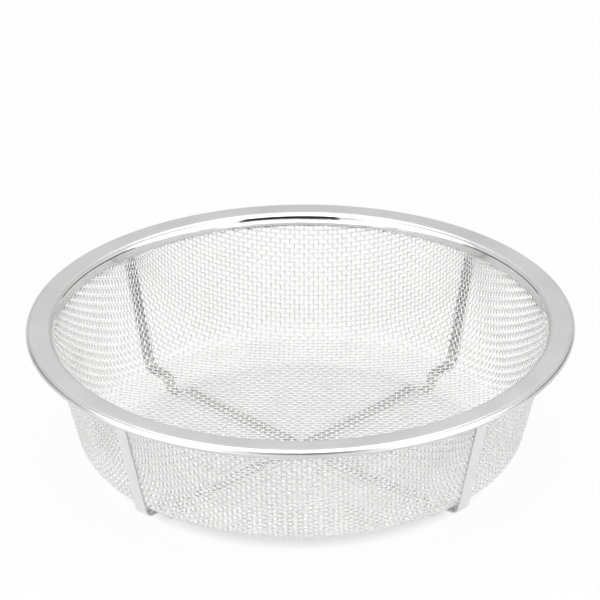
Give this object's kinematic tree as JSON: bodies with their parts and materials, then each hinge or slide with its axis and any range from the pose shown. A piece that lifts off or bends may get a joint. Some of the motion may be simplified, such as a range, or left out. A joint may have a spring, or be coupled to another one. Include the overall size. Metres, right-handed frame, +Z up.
{
  "type": "colander",
  "caption": "Round wire-cloth colander: a drawn bowl of woven stainless wire with a flat folded rim, standing on bent strap feet that cross under its base.",
  "frame": {"origin": "on the table, midway between the four feet, under the middle of the bowl", "axes": "+Z up along the bowl's axis, -Y towards the picture's viewer, the straps at 45 degrees to X and Y"},
  "size_m": [0.23, 0.23, 0.062],
  "materials": {
    "rim_steel": "satin stainless strip with a polished rolled edge",
    "wire_steel": "bright drawn stainless wire, plain woven",
    "strap_steel": "satin stainless flat strap with sheared edges"
  },
  "bodies": {
    "root": {"rim_ring": "rim_steel", "mesh_bowl": "wire_steel", "strap_upper": "strap_steel", "strap_lower": "strap_steel"}
  },
  "joints": []
}
